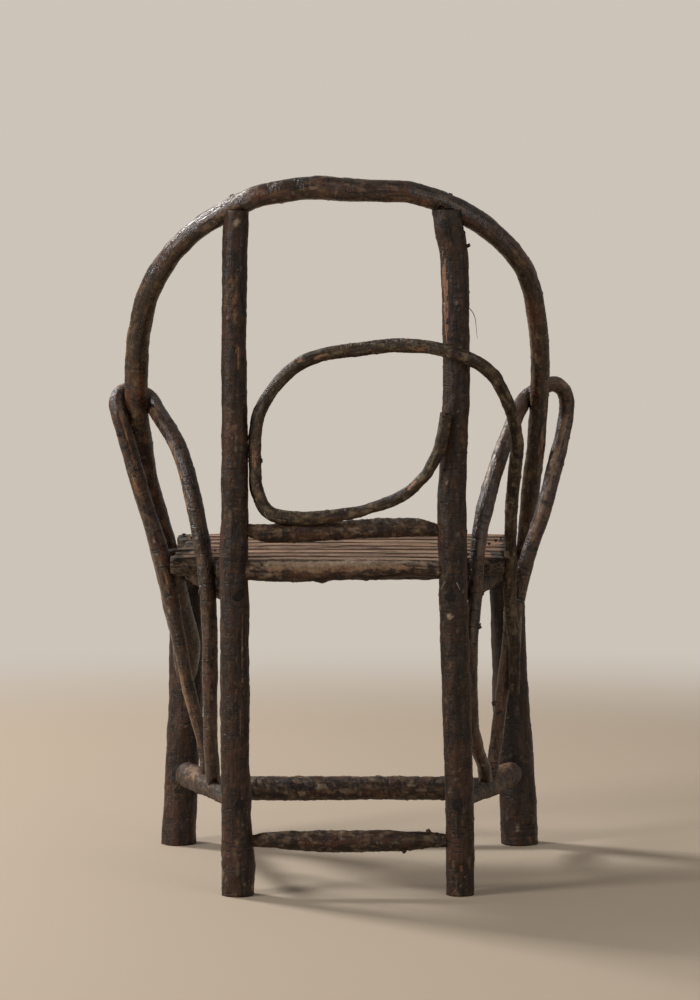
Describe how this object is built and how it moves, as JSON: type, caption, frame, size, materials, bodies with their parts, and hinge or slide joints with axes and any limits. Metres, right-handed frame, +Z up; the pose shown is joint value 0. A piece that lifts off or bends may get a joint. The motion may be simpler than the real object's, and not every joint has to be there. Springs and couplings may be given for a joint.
{
  "type": "chair",
  "caption": "Rustic armchair of bark-covered saplings with round tenons, a split-sapling seat, a leaning bent hoop, a spiral back loop and a bent loop at each arm.",
  "frame": {"origin": "middle of the chair's outer box on the floor", "axes": "+Z up, -Y the way the sitter faces, +X the sitter's left"},
  "size_m": [0.6092, 0.4924, 0.9125],
  "materials": {
    "bark_posts": "dark brown bark on straight saplings, smooth with small lenticels",
    "bark_rungs": "brown bark on thin rungs, whittled bare at the ends",
    "bark_hoop": "dark polished bark on the bent hoop, with flakes lifted",
    "bark_bent": "brown bark on thin bent saplings, orange where it has peeled",
    "split_wood": "bare pinkish split wood, worn smooth, bark left underneath",
    "iron_nail": "darkened cut iron"
  },
  "bodies": {
    "root": {"arm_loop_left": "bark_bent", "arm_loop_right": "bark_bent", "back_hoop": "bark_hoop", "back_loop": "bark_bent", "back_rail_lower": "bark_rungs", "front_leg_left": "bark_posts", "front_leg_right": "bark_posts", "nails_arms": "iron_nail", "nails_hoop": "iron_nail", "nails_loop": "iron_nail", "nails_seat": "iron_nail", "rear_post_left": "bark_posts", "rear_post_right": "bark_posts", "seat_rail_front": "bark_rungs", "seat_rail_left": "bark_rungs", "seat_rail_rear": "bark_rungs", "seat_rail_right": "bark_rungs", "seat_slat_1": "split_wood", "seat_slat_2": "split_wood", "seat_slat_3": "split_wood", "seat_slat_4": "split_wood", "seat_slat_5": "split_wood", "seat_slat_6": "split_wood", "seat_slat_7": "split_wood", "seat_slat_8": "split_wood", "stretcher_front": "bark_rungs", "stretcher_left": "bark_rungs", "stretcher_rear": "bark_rungs", "stretcher_right": "bark_rungs"}
  },
  "joints": []
}
